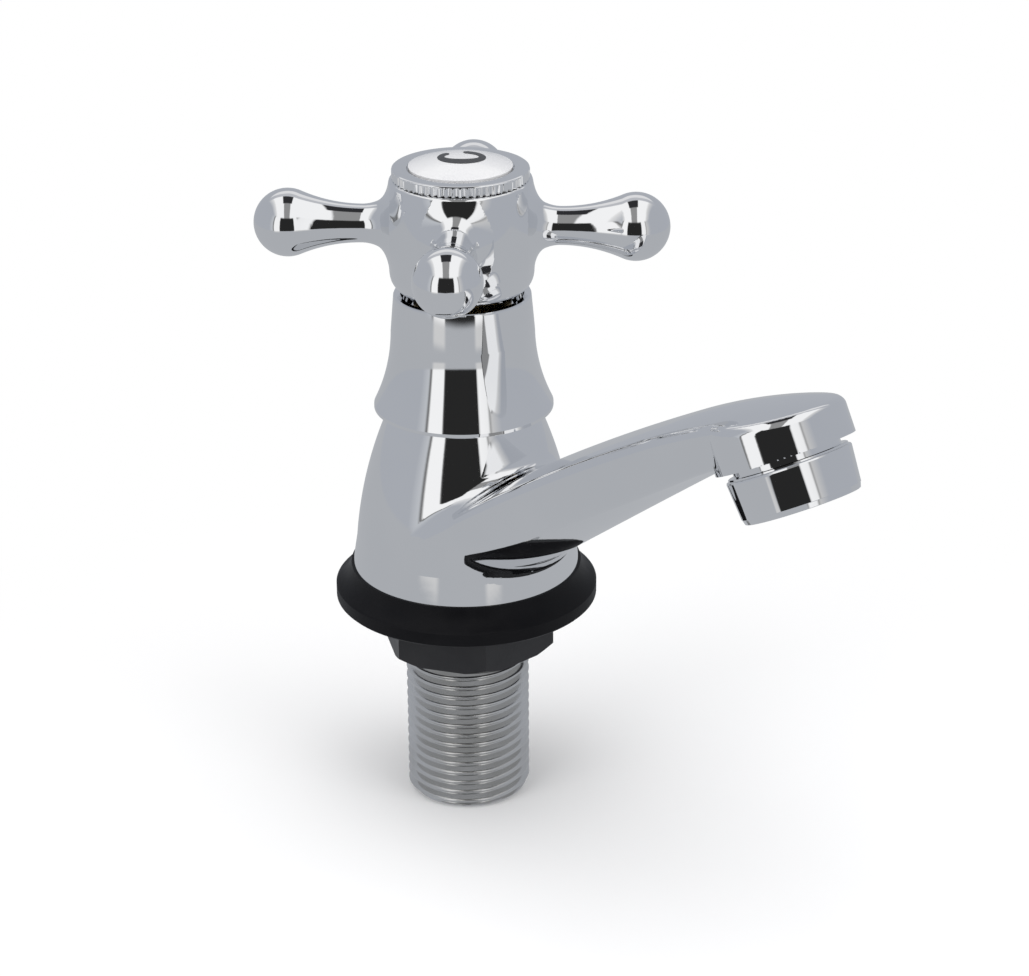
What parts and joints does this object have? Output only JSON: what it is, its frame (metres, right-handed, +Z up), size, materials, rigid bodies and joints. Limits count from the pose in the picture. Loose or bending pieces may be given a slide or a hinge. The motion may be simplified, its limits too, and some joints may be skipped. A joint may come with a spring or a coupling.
{
  "type": "basin pillar tap",
  "caption": "Basin pillar tap with a cross handle, bell shroud, swelling cone body, rising spout with a screwed aerator, threaded inlet tail, rubber base cup and backnut.",
  "frame": {"origin": "centre of the base washer's underside, in the deck's plane", "axes": "+Z up along the tap's upright axis; the spout points to -Y; +X is to the right when one stands before the spout and looks along +Y"},
  "size_m": [0.0512, 0.1079, 0.1129],
  "materials": {
    "chrome": "bright chrome plate on cast brass",
    "plated_tail": "satin nickel plate on brass",
    "brass": "machined",
    "steel": "stainless, satin",
    "rubber": "matt black",
    "black_plastic": "moulded, matt",
    "white_plastic": "gloss white"
  },
  "bodies": {
    "tap": {"tap_body": "chrome", "threaded_tail": "plated_tail", "tail_seal": "rubber", "base_washer": "rubber", "backnut": "black_plastic", "bonnet_shroud": "chrome", "headwork_body": "brass", "headwork_seal": "rubber", "shroud_o_ring": "rubber", "aerator_housing": "chrome", "aerator_washer": "rubber", "aerator_insert": "white_plastic", "aerator_screen": "steel"},
    "handle": {"handle": "chrome", "handle_bush": "brass", "handle_screw": "steel", "index_ring": "chrome", "index_disc": "white_plastic", "spindle": "brass", "spindle_o_rings": "rubber", "thrust_washer": "white_plastic", "spindle_circlip": "steel"},
    "jumper": {"jumper_carrier": "brass", "valve_washer": "rubber", "washer_screw": "steel"}
  },
  "joints": [
    {"name": "handle_turn", "type": "hinge", "parent": "tap", "child": "handle", "pos_m": [0, 0, 0.06493], "axis": [0, 0, 1], "range_deg": [0, 540]},
    {"name": "jumper_lift", "type": "slide", "parent": "tap", "child": "jumper", "axis": [0, 0, 1], "range_m": [0, 0.00375]}
  ],
  "couplings": [
    {"joint": "jumper_lift", "follows": "handle_turn", "m_per_rad": 0.00039788}
  ]
}
